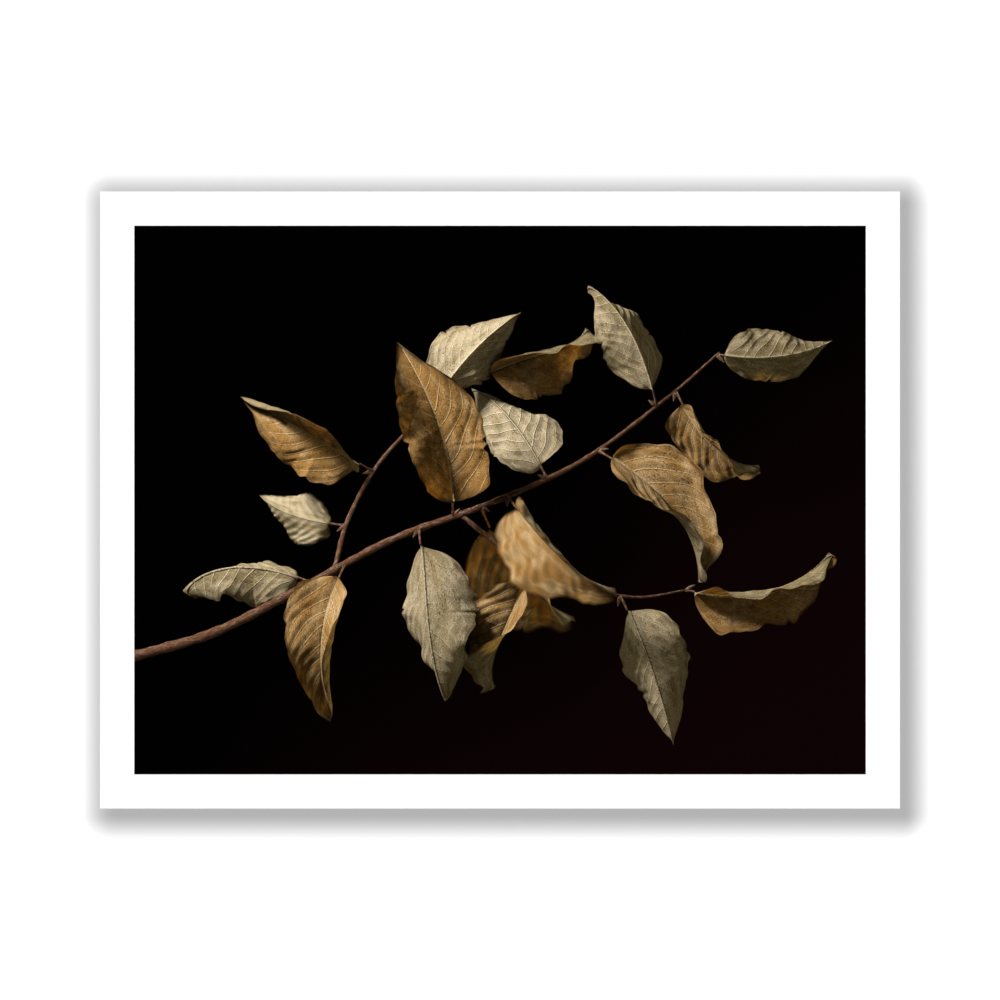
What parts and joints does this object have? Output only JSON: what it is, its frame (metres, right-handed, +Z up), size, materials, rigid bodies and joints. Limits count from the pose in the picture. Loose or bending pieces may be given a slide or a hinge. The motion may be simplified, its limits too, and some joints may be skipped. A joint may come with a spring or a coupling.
{
  "type": "mounted photo print",
  "caption": "Landscape photographic print on a white composite board with an even margin, hung clear of the wall on a mitred channel sub-frame.",
  "frame": {"origin": "middle of the hanging face, the underside of the top rail's web, which bears on the wall hooks", "axes": "+Z up, the picture faces -Y, the wall is on the +Y side, +X to the right as the picture is seen"},
  "size_m": [0.4444, 0.0225, 0.3429],
  "materials": {
    "photo_paper": "lustre photographic paper, near-black ground with a printed botanical picture",
    "white_lacquer": "satin white lacquer on aluminium",
    "black_core": "sawn black polyethylene",
    "mill_aluminium": "mill-finish sheet, fine rolling lines",
    "anodised_aluminium": "clear anodised extrusion, satin",
    "cast_zinc": "die-cast zinc, tumbled",
    "plated_steel": "bright zinc-plated steel",
    "foam_tape": "acrylic foam, matt",
    "grey_felt": "pressed wool felt"
  },
  "bodies": {
    "root": {"photo_print": "photo_paper", "board_front_skin": "white_lacquer", "board_core": "black_core", "board_back_skin": "mill_aluminium", "rail_top": "anodised_aluminium", "rail_right": "anodised_aluminium", "rail_bottom": "anodised_aluminium", "rail_left": "anodised_aluminium", "corner_key_top_left": "cast_zinc", "corner_key_top_right": "cast_zinc", "corner_key_bottom_right": "cast_zinc", "corner_key_bottom_left": "cast_zinc", "key_screw_top_1": "plated_steel", "key_screw_top_2": "plated_steel", "key_screw_right_1": "plated_steel", "key_screw_right_2": "plated_steel", "key_screw_bottom_1": "plated_steel", "key_screw_bottom_2": "plated_steel", "key_screw_left_1": "plated_steel", "key_screw_left_2": "plated_steel", "tape_top": "foam_tape", "tape_right": "foam_tape", "tape_bottom": "foam_tape", "tape_left": "foam_tape", "wall_bumper_top_left": "grey_felt", "wall_bumper_top_right": "grey_felt", "wall_bumper_bottom_right": "grey_felt", "wall_bumper_bottom_left": "grey_felt"}
  },
  "joints": []
}
